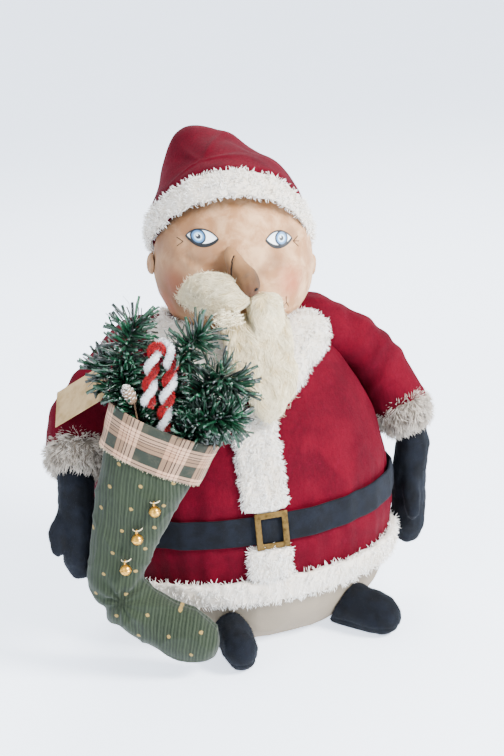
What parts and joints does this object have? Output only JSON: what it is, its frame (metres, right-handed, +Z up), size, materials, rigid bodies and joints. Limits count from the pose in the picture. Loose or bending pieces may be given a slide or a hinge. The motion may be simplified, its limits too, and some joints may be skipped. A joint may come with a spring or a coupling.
{
  "type": "stuffed santa doll",
  "caption": "Stuffed fabric santa doll with a fur-trimmed velvet coat and hat, wool beard, painted eyes and a striped stocking holding a pine bough and candy cane.",
  "frame": {"origin": "on the floor under the middle of the coat, at the centre of the base cover's underside", "axes": "+Z up, the doll faces -Y, +X to the doll's left"},
  "size_m": [0.3438, 0.2808, 0.4153],
  "materials": {
    "red_velvet": "matte",
    "white_fur": "matte",
    "cream_wool": "matte",
    "navy_cloth": "matte",
    "painted_cotton": "matte",
    "polyester_stuffing": "matte",
    "plain_muslin": "matte",
    "grey_board": "matte",
    "pellets": "matte",
    "bronze_metal": "satin",
    "brass_bell": "polished",
    "steel_pea": "satin",
    "green_stripe": "matte",
    "plaid_cloth": "matte",
    "pine_plastic": "satin",
    "red_chenille": "matte",
    "white_chenille": "matte",
    "cone_scales": "matte",
    "cream_paper": "matte",
    "eye_white_paint": "matte",
    "eye_blue_paint": "satin"
  },
  "bodies": {
    "torso": {"coat_body": "red_velvet", "base_cover": "plain_muslin", "base_board": "grey_board", "pellet_bag": "pellets", "body_stuffing": "polyester_stuffing", "neck_post": "plain_muslin", "coat_hem": "white_fur", "belt": "navy_cloth", "belt_buckle": "bronze_metal", "coat_placket": "white_fur", "coat_collar": "white_fur"},
    "head": {"head_skin": "painted_cotton", "head_stuffing": "polyester_stuffing", "right_eye": "eye_white_paint", "left_eye": "eye_white_paint", "right_iris": "eye_blue_paint", "left_iris": "eye_blue_paint", "nose": "painted_cotton", "right_ear": "painted_cotton", "left_ear": "painted_cotton", "right_moustache": "cream_wool", "left_moustache": "cream_wool", "beard": "cream_wool", "hat_cap": "red_velvet", "hat_brim": "white_fur"},
    "hat_end": {"hat_tail": "red_velvet", "hat_pompom": "white_fur"},
    "left_arm": {"left_sleeve": "red_velvet", "left_arm_stuffing": "polyester_stuffing", "left_cuff": "white_fur", "left_mitten": "navy_cloth"},
    "right_arm": {"right_sleeve": "red_velvet", "right_arm_stuffing": "polyester_stuffing", "right_cuff": "white_fur", "right_mitten": "navy_cloth"},
    "stocking": {"stocking_sock": "green_stripe", "stocking_band": "plaid_cloth", "stocking_filling": "polyester_stuffing", "pine_twig_1": "pine_plastic", "pine_twig_2": "pine_plastic", "pine_twig_3": "pine_plastic", "pine_twig_4": "pine_plastic", "pine_twig_5": "pine_plastic", "cane_red_stem": "red_chenille", "cane_white_stem": "white_chenille", "pine_cone": "cone_scales", "tag_thread": "plain_muslin", "bell_stitch_1": "plain_muslin", "bell_stitch_2": "plain_muslin", "bell_stitch_3": "plain_muslin"},
    "top_bell": {"bell_1": "brass_bell", "bell_pea_1": "steel_pea"},
    "middle_bell": {"bell_2": "brass_bell", "bell_pea_2": "steel_pea"},
    "low_bell": {"bell_3": "brass_bell", "bell_pea_3": "steel_pea"},
    "tag": {"paper_tag": "cream_paper"},
    "right_foot": {"right_boot": "navy_cloth"},
    "left_foot": {"left_boot": "navy_cloth"}
  },
  "joints": [
    {"name": "head_turn", "type": "hinge", "parent": "torso", "child": "head", "pos_m": [0.012, -0.002, 0.262], "axis": [0, 0, 1], "range_deg": [-12, 12]},
    {"name": "hat_tail_swing", "type": "hinge", "parent": "head", "child": "hat_end", "pos_m": [0.0172, 0.0678, 0.399], "axis": [1, 0, 0], "range_deg": [0, 25]},
    {"name": "left_arm_swing", "type": "hinge", "parent": "torso", "child": "left_arm", "pos_m": [0.066, 0.01, 0.246], "axis": [-1, 0, 0], "range_deg": [-15, 60]},
    {"name": "right_arm_lift", "type": "hinge", "parent": "torso", "child": "right_arm", "pos_m": [-0.066, 0.01, 0.273], "axis": [0, 1, 0], "range_deg": [0, 15]},
    {"name": "stocking_swing", "type": "hinge", "parent": "right_arm", "child": "stocking", "pos_m": [-0.146, -0.094, 0.15], "axis": [0, 0, -1], "range_deg": [0, 10]},
    {"name": "top_bell_swing", "type": "hinge", "parent": "stocking", "child": "top_bell", "pos_m": [-0.09127, -0.13831, 0.15805], "axis": [-0.9511, 0.309, 0], "range_deg": [0, 25]},
    {"name": "middle_bell_swing", "type": "hinge", "parent": "stocking", "child": "middle_bell", "pos_m": [-0.10659, -0.1337, 0.13605], "axis": [-0.9511, 0.309, 0], "range_deg": [0, 25]},
    {"name": "low_bell_swing", "type": "hinge", "parent": "stocking", "child": "low_bell", "pos_m": [-0.11785, -0.12951, 0.11105], "axis": [-0.9511, 0.309, 0], "range_deg": [0, 25]},
    {"name": "tag_lift", "type": "hinge", "parent": "stocking", "child": "tag", "pos_m": [-0.11312, -0.09037, 0.24683], "axis": [0.1869, 0.7788, 0.5988], "range_deg": [0, 30]},
    {"name": "right_boot_tilt", "type": "hinge", "parent": "torso", "child": "right_foot", "pos_m": [-0.035, -0.092, 0.046], "axis": [-0.9994, -0.0349, 0], "range_deg": [0, 8]},
    {"name": "left_boot_tilt", "type": "hinge", "parent": "torso", "child": "left_foot", "pos_m": [0.074, -0.076, 0.046], "axis": [-0.788, -0.6157, 0], "range_deg": [0, 8]}
  ]
}
